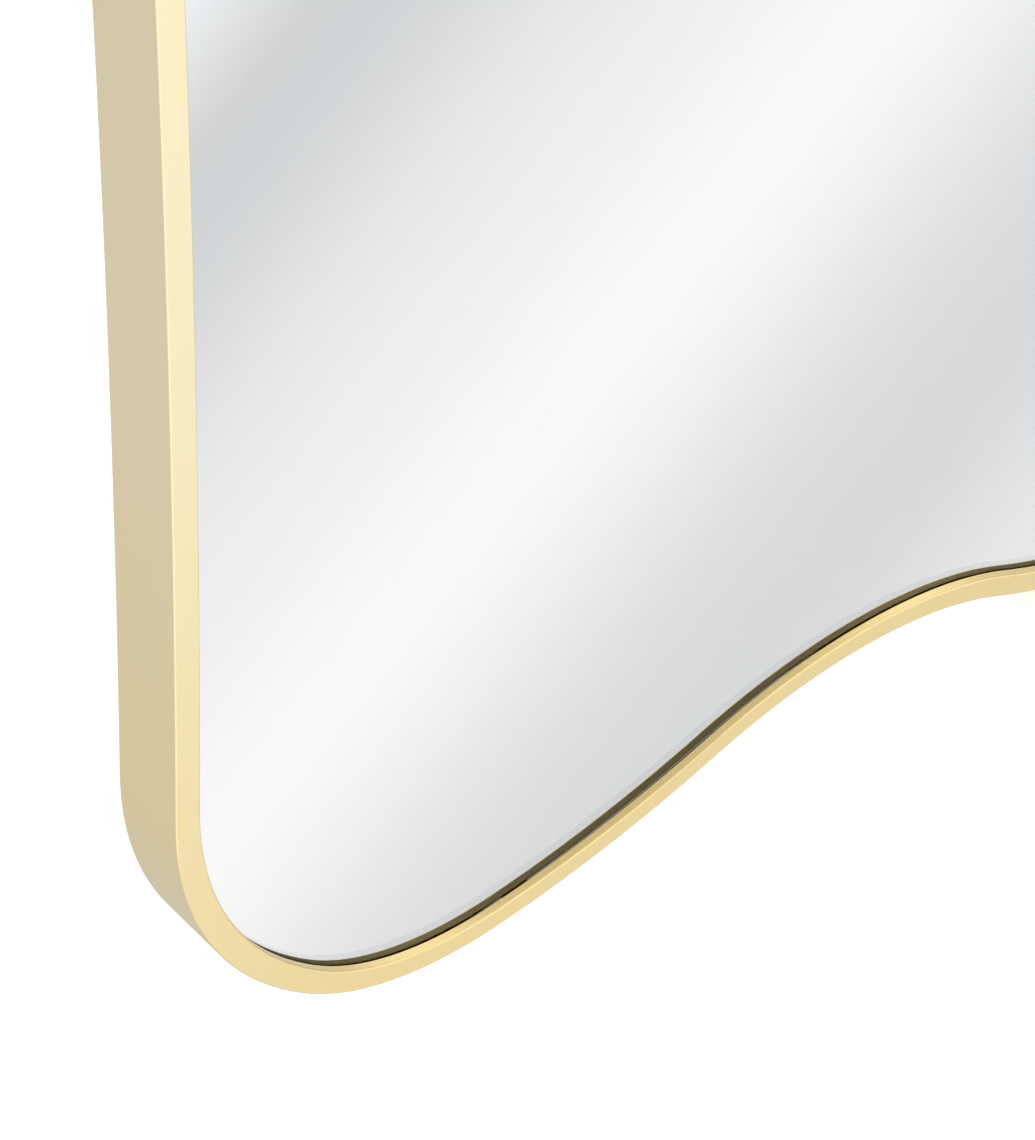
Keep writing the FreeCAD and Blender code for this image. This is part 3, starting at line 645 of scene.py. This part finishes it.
def edge_frame(name, share):
    """At an edge point: X runs inward, Y into the wall, Z along the edge."""
    point, heading = spot(name, share)
    across, along = inward(heading), -ahead(heading)
    turn = Matrix(((across.real, 0, along.real), (0, 1, 0), (across.imag, 0, along.imag))).to_4x4()
    return Matrix.Translation((point.real * MM, 0, point.imag * MM)) @ turn


grub_blank = as_object("grub", turned([
    (0, 0), (GRUB_POINT, 0), (GRUB_RADIUS, GRUB_CONE), (GRUB_RADIUS, GRUB_LENGTH - GRUB_CHAMFER),
    (GRUB_RADIUS - GRUB_CHAMFER, GRUB_LENGTH), (0, GRUB_LENGTH)], sides=32))
socket_corner = GRUB_SOCKET * HEX_CORNER
beyond = GRUB_LENGTH + OVERRUN
grub_key = as_object("key", turned([
    (0, GRUB_SOCKET_FLOOR), (socket_corner, GRUB_SOCKET_EDGE), (socket_corner, beyond), (0, beyond)],
    sides=6))
grub = cut_away(grub_blank, [grub_key])
seam_frame = edge_frame(*SEAM)
# The grub screws lie along X of the seam's frame, their sockets facing inward.
lie_down = Matrix.Rotation(math.radians(-90), 4, "Z")
grub_places = [seam_frame @ Matrix.Translation((WALL * MM, -GRUB_DEPTH * MM, along * MM)) @ lie_down
               for along in GRUB_ALONG]
set_out("grub_screws", grub, grub_places, "splice_screws")


# ================================================================ retaining clips
# Eight stepped clips of zinc-plated spring steel. The tongue hooks behind the frame's inner rib and
# the foot is held by one pan-head screw with a cross recess, driven into the board.

CLIP_PLACES = [
    ("foot", 0.9), ("dip", 0.5), ("lobe", 0.5), ("waist", 0.62), ("shoulder", 0.6), ("scoop", 0.5),
    ("crown", 0.75), ("flank", 0.4),
]
CLIP_SCREW_INSET = 14.5
BOARD_BACK = 11.7
CLIP_THICK = 1.0
# Each screw stops a turn of its own, in radians, after the one before.
CLIP_SCREW_STOP = 2.4

# Shares of a pan head's radius and height: how far its underside is drawn in, where its rim begins and
# where the dome does. The cross recess is (long, high, wide) at its floor and at its mouth.
UNDERSIDE = 0.93
RIM_START = 0.1
DOME_START = 0.35
RECESS_FLOOR = (0.7, 0.32, 0.16)
RECESS_MOUTH = (1.16, 1.2, 0.24)
# The head bites this far, in mm, into what it holds down. The thread's root and the tip of the point
# are shares of the shank's radius, and the point widens by that radius in this length, in mm.
HEAD_BITE = 0.02
THREAD_ROOT = 0.74
TIP = 0.15
POINT = 1.2

for number in range(1, len(CLIP_PLACES) + 1):
    dress("retaining_clip_%02d" % number, zinc_plate)
    ease("retaining_clip_%02d" % number, 0.15)


def pan_screw(head_radius, head_height, shank_radius, length, pitch):
    """A pan-head screw on +Y, the underside of its head at zero, with a cross recess and a thread."""
    dome = [(head_radius * math.cos(a), head_height * (DOME_START + (1 - DOME_START) * math.sin(a)))
            for a in [math.radians(step * 10) for step in range(9)]]
    blank = as_object("head", turned([
        (0, -HEAD_BITE), (head_radius * UNDERSIDE, -HEAD_BITE), (head_radius, head_height * RIM_START),
        *dome, (0, head_height)], sides=40))
    cutters = []
    for turn in (0, 90):
        form = bmesh.new()
        bmesh.ops.create_cube(form, size=1.0)
        for corner in form.verts:
            long, high, wide = RECESS_FLOOR if corner.co.y < 0 else RECESS_MOUTH
            corner.co = Vector((
                corner.co.x * head_radius * long, head_height * high, corner.co.z * head_radius * wide))
        form.transform(Matrix.Scale(MM, 4))
        form.transform(Matrix.Rotation(math.radians(turn), 4, "Y"))
        cutters.append(as_object("cross", form))
    head = cut_away(blank, cutters)
    form = bmesh.new()
    form.from_mesh(head)
    bpy.data.meshes.remove(head)
    sides, rings, steps = 20, [], math.ceil(length / (pitch / 6))
    for step in range(steps + 1):
        height = -length * step / steps
        taper = min(1.0, TIP + (length + height) / POINT)
        ring = []
        for side in range(sides):
            angle = 2 * math.pi * side / sides
            crest = abs(((height / pitch + side / sides) % 1.0) - 0.5) * 2
            radius = shank_radius * (THREAD_ROOT + (1 - THREAD_ROOT) * crest) * taper
            ring.append(form.verts.new((
                radius * math.cos(angle) * MM, height * MM, radius * math.sin(angle) * MM)))
        rings.append(ring)
    for low, high in zip(rings, rings[1:]):
        for side in range(sides):
            other = (side + 1) % sides
            form.faces.new((low[side], low[other], high[other], high[side]))
    form.faces.new(list(reversed(rings[0])))
    form.faces.new(rings[-1])
    bmesh.ops.recalc_face_normals(form, faces=form.faces)
    mesh = bpy.data.meshes.new("pan_screw")
    form.to_mesh(mesh)
    form.free()
    return mesh


clip_screw = pan_screw(head_radius=2.9, head_height=1.7, shank_radius=1.4, length=5.4, pitch=1.1)
clip_screw_places = []
for number, (name, share) in enumerate(CLIP_PLACES):
    stand = Matrix.Translation((CLIP_SCREW_INSET * MM, (CLIP_THICK - BOARD_BACK) * MM, 0))
    spin = Matrix.Rotation(number * CLIP_SCREW_STOP, 4, "Y")
    clip_screw_places.append(edge_frame(name, share) @ stand @ spin)
set_out("clip_pan_screws", clip_screw, clip_screw_places, "clip_screws")


# ================================================================ hangers
# Four folding hangers of nickel-plated steel: a strap rolled into an eye round a D ring of 3 mm
# wire, each held by two pan-head screws. Two are for hanging upright and two for hanging on a side.

HANGERS = {
    # where the ring's bar lies, in mm, and its turn about Y in degrees
    "left": ((-150.0, -8.6, -17.0), 0.0),
    "right": ((150.0, -8.6, -17.0), 0.0),
    "side_upper": ((208.0, -8.6, -103.0), 90.0),
    "side_lower": ((208.0, -8.6, -363.0), 90.0),
}
WIRE_RADIUS = 1.5
# To the middle of the wire: half the ring's width, its corner radius and its straight side.
RING_HALF = 12.0
RING_CORNER = 2.5
RING_SIDE = 4.0
STRAP_THICK = 1.3
# Where the two screws sit, along the strap from the ring's bar.
STRAP_SCREWS = (-27.0, -39.0)

# Electroplated nickel: warmer and glossier than zinc, with hairline rubs from handling.
nickel_plate, tree = new_material("nickel-plated steel")
place = add(tree, "TexCoord", {})
hairs = add(tree, "Mapping", {
    "Vector": place.outputs["Object"], "Rotation": (0.3, 0.2, 0.6),
    "Scale": (1 / (8 * MM), 1 / (0.3 * MM), 1 / (0.3 * MM))})
rubs = add(tree, "TexNoise", {"Vector": hairs.outputs["Vector"], "Scale": 1.0, "Detail": 3.0})
bath = add(tree, "TexNoise", {"Vector": place.outputs["Object"], "Scale": 1 / (9 * MM), "Detail": 2.0})
warm = add(tree, "ValToRGB", {"Fac": bath.outputs["Fac"]})
shade(warm, [(0.3, "#C6C0B4"), (0.7, "#D4CFC5")])
worn = add(tree, "MapRange", {"Value": rubs.outputs["Fac"], "To Min": 0.14, "To Max": 0.36})
nickel_bump = add(tree, "Bump", {"Height": rubs.outputs["Fac"], "Strength": 0.2, "Distance": 0.006 * MM})
plated = add(tree, "BsdfPrincipled", {
    "Base Color": warm.outputs["Color"], "Metallic": 1.0, "Roughness": worn.outputs["Result"],
    "Normal": nickel_bump.outputs["Normal"]})
add(tree, "OutputMaterial", {"Surface": plated.outputs["BSDF"]})


def ring_line():
    """Points and directions round the middle of the wire, in the ring's own plane."""
    low = -RING_CORNER - RING_SIDE
    arcs = [
        # centre, radius, first and last angle in degrees, steps
        (complex(RING_HALF - RING_CORNER, -RING_CORNER), RING_CORNER, 90, 0, 8),
        (complex(0, low), RING_HALF, 0, -180, 36),
        (complex(RING_CORNER - RING_HALF, -RING_CORNER), RING_CORNER, 180, 90, 8),
    ]
    found = []
    for centre, radius, first, last, steps in arcs:
        for step in range(steps + 1):
            out = cmath.exp(1j * math.radians(first + (last - first) * step / steps))
            found.append((centre + out * radius, out))
    return found


def wire_ring(name, matrix):
    """A closed ring of round wire."""
    sides, form, rings = 24, bmesh.new(), []
    for point, out in ring_line():
        ring = []
        for side in range(sides):
            angle = 2 * math.pi * side / sides
            here = point + out * WIRE_RADIUS * math.cos(angle)
            ring.append(form.verts.new((here.real * MM, WIRE_RADIUS * math.sin(angle) * MM, here.imag * MM)))
        rings.append(ring)
    for near, far in zip(rings, rings[1:] + rings[:1]):
        for side in range(sides):
            other = (side + 1) % sides
            form.faces.new((near[side], near[other], far[other], far[side])).smooth = True
    bmesh.ops.recalc_face_normals(form, faces=form.faces)
    form.transform(matrix)
    return as_object(name, form)


strap_places = []
for label, (bar, turn) in HANGERS.items():
    stand = Matrix.Translation(Vector(bar) * MM) @ Matrix.Rotation(math.radians(turn), 4, "Y")
    ring = wire_ring("d_ring_" + label, stand)
    ring.data.materials.append(nickel_plate)
    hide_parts("hanger_ring_" + label)
    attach(ring, "ring_" + label)
    dress("hanger_strap_" + label, nickel_plate)
    ease("hanger_strap_" + label, 0.15)
    rise = (STRAP_THICK - BOARD_BACK - bar[1]) * MM
    for along in STRAP_SCREWS:
        # The place along the strap, read as radians, makes the two screws stop at different angles.
        spin = Matrix.Rotation(along, 4, "Y")
        strap_places.append(stand @ Matrix.Translation((0, rise, along * MM)) @ spin)
strap_screw = pan_screw(head_radius=3.4, head_height=2.0, shank_radius=1.6, length=5.7, pitch=1.2)
set_out("hanger_pan_screws", strap_screw, strap_places, "hanger_screws")


# ================================================================ studio
# A plain white floor under the mirror's lowest point and a plain white room. What metal and glass
# show is the room's soft boxes: broad pale bands that lean across the pane, as in the photograph.

# Metres from the mirror to the floor's edge, where it meets the white room.
FLOOR_REACH = 30.0
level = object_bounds()[0][2]
floor_mesh = bpy.data.meshes.new("floor")
corners = [(x * FLOOR_REACH, y * FLOOR_REACH, level) for x, y in ((-1, -1), (1, -1), (1, 1), (-1, 1))]
floor_mesh.from_pydata(corners, [], [(0, 1, 2, 3)])
floor = bpy.data.objects.new("floor", floor_mesh)
bpy.context.scene.collection.objects.link(floor)
floor.visible_glossy = False
floor.visible_transmission = False
white_floor, tree = new_material("matt white floor")
path = add(tree, "LightPath", {})
lit = add(tree, "BsdfDiffuse", {"Color": linear("#F4F4F4")})
lift = add(tree, "Emission", {"Color": (1, 1, 1, 1), "Strength": 0.3})
seen = add(tree, "AddShader", {0: lit.outputs["BSDF"], 1: lift.outputs["Emission"]})
pick = add(tree, "MixShader", {
    0: path.outputs["Is Camera Ray"], 1: lit.outputs["BSDF"], 2: seen.outputs["Shader"]})
add(tree, "OutputMaterial", {"Surface": pick.outputs["Shader"]})
floor_mesh.materials.append(white_floor)

room = bpy.data.worlds.new("white studio")
bpy.context.scene.world = room
room.use_nodes = True
tree = room.node_tree
tree.nodes.clear()
# Direction across the pale bands, and how bright the room is along it.
ACROSS = (0.2595, 0.8999, -0.3524)
BANDS = [
    # sine of the angle across the bands, brightness
    (-1.0, 0.90), (-0.93, 1.00), (-0.86, 0.76), (-0.70, 0.95), (-0.50, 0.78), (-0.30, 1.60), (-0.13, 1.45),
    (-0.0906, 0.775), (-0.083, 0.735), (-0.076, 0.712), (-0.060, 0.818), (-0.045, 0.908), (-0.030, 0.955),
    (-0.0150, 1.025), (-0.006, 1.025), (0.0, 0.985), (0.0135, 0.885), (0.0235, 0.806), (0.037, 0.763),
    (0.046, 0.768), (0.057, 0.842), (0.066, 0.880), (0.080, 0.84), (0.20, 0.52), (0.32, 0.66), (0.46, 0.86),
    (0.60, 0.73), (0.74, 0.68), (0.84, 0.46), (0.93, 0.70), (1.0, 1.10),
]
# A band brighter than this is a lit soft box, and a dimmer one is wall.
BOX_GLOW = 1.05
# A ramp holds no more than 1, so it carries this share of the light and the background gives the rest.
RAMP_SHARE = 0.5


def room_light(glow):
    """A band's colour. Soft boxes grow cooler as they grow brighter, and walls as they grow dimmer."""
    cool = max(0.05 * (BOX_GLOW - glow), 0.1 * (glow - BOX_GLOW))
    return (glow - cool) * RAMP_SHARE, glow * RAMP_SHARE, (glow + cool) * RAMP_SHARE, 1


toward = add(tree, "TexCoord", {})
across = add(tree, "VectorMath", {0: toward.outputs["Generated"], 1: ACROSS}, operation="DOT_PRODUCT")
along = add(tree, "MapRange", {"Value": across.outputs["Value"], "From Min": -1.0, "From Max": 1.0})
bands = add(tree, "ValToRGB", {"Fac": along.outputs["Result"]})
bands.color_ramp.interpolation = "CARDINAL"
shade(bands, [((sine + 1) / 2, room_light(glow)) for sine, glow in BANDS])
# A long soft box high in front: the eased edges catch it as a fine bright line.
HIGH_BOX = (0.42, -0.80, 0.43)
near_box = add(tree, "VectorMath", {0: toward.outputs["Generated"], 1: HIGH_BOX}, operation="DOT_PRODUCT")
box_glow = add(tree, "MapRange", {
    "Value": near_box.outputs["Value"], "From Min": 0.93, "From Max": 0.98, "To Min": 0.0, "To Max": 0.4},
    interpolation_type="SMOOTHSTEP")
# Level and upward the room has long windows that lean the other way, for a pane seen from the front.
# One window and one pier together take up 0.16 of the cosine along LEAN.
LEAN = (0.62, 0.10, 0.78)
PANES = 2 * math.pi / 0.16
window_lean = add(tree, "VectorMath", {0: toward.outputs["Generated"], 1: LEAN}, operation="DOT_PRODUCT")
window_phase = add(tree, "Math", {0: window_lean.outputs["Value"], 1: PANES}, operation="MULTIPLY")
window_wave = add(tree, "Math", {0: window_phase.outputs[0]}, operation="SINE")
height = add(tree, "SeparateXYZ", {"Vector": toward.outputs["Generated"]})
level_up = add(tree, "MapRange", {
    "Value": height.outputs["Z"], "From Min": -0.5, "From Max": -0.3, "To Min": 0.0, "To Max": 0.11})
windows = add(tree, "Math", {0: window_wave.outputs[0], 1: level_up.outputs["Result"], 2: 1.0},
              operation="MULTIPLY_ADD")
wall_glow = add(tree, "VectorMath", {
    0: bands.outputs["Color"], "Scale": windows.outputs[0]}, operation="SCALE")
lit_room = add(tree, "VectorMath", {0: wall_glow.outputs["Vector"], 1: box_glow.outputs["Result"]},
               operation="ADD")
path = add(tree, "LightPath", {})
wall = add(tree, "Background", {"Color": (1, 1, 1, 1), "Strength": 1.0})
boxes = add(tree, "Background", {"Color": lit_room.outputs["Vector"], "Strength": 1 / RAMP_SHARE})
pick = add(tree, "MixShader", {
    0: path.outputs["Is Camera Ray"], 1: boxes.outputs["Background"], 2: wall.outputs["Background"]})
add(tree, "OutputWorld", {"Surface": pick.outputs["Shader"]})


def soft_box(name, at, towards, wide, watts):
    """A square area lamp that gives soft light but isn't itself mirrored."""
    lamp = bpy.data.lights.new(name, "AREA")
    lamp.shape = "SQUARE"
    lamp.size = wide
    lamp.energy = watts
    box = bpy.data.objects.new(name, lamp)
    box.matrix_world = (Matrix.Translation(at)
                        @ (Vector(towards) - Vector(at)).to_track_quat("-Z", "Y").to_matrix().to_4x4())
    box.visible_glossy = False
    box.visible_transmission = False
    bpy.context.scene.collection.objects.link(box)


MIDDLE = (0, 0, -0.3)
soft_box("key", at=(-1.5, -1.6, 2.2), towards=MIDDLE, wide=1.6, watts=30.0)
soft_box("back_fill", at=(1.2, 2.0, 1.2), towards=MIDDLE, wide=1.6, watts=14.0)


# ================================================================ camera
# A long lens above, in front and to the left, aimed at the lower left corner. It is held a little
# askew, as the lines of the frame in the photograph show.

CAMERA_PLACE = (-0.94274, -0.84998, 1.09015)
# In degrees: round the upright, up from looking straight down, and the roll about its own line of sight.
CAMERA_TURN = -44.1987
CAMERA_TILT = 37.199
CAMERA_ROLL = 2.8844

lens = bpy.data.cameras.new("camera")
lens.sensor_width = 36.0
lens.lens = 188.24
lens.clip_start = 0.01
lens.clip_end = 200.0
camera = bpy.data.objects.new("camera", lens)
bpy.context.scene.collection.objects.link(camera)
camera.matrix_world = (
    Matrix.Translation(CAMERA_PLACE)
    @ Matrix.Rotation(math.radians(CAMERA_TURN), 4, "Z")
    @ Matrix.Rotation(math.radians(CAMERA_TILT), 4, "X")
    @ Matrix.Rotation(math.radians(CAMERA_ROLL), 4, "Z"))
bpy.context.scene.camera = camera

bpy.context.scene.view_settings.view_transform = "Standard"
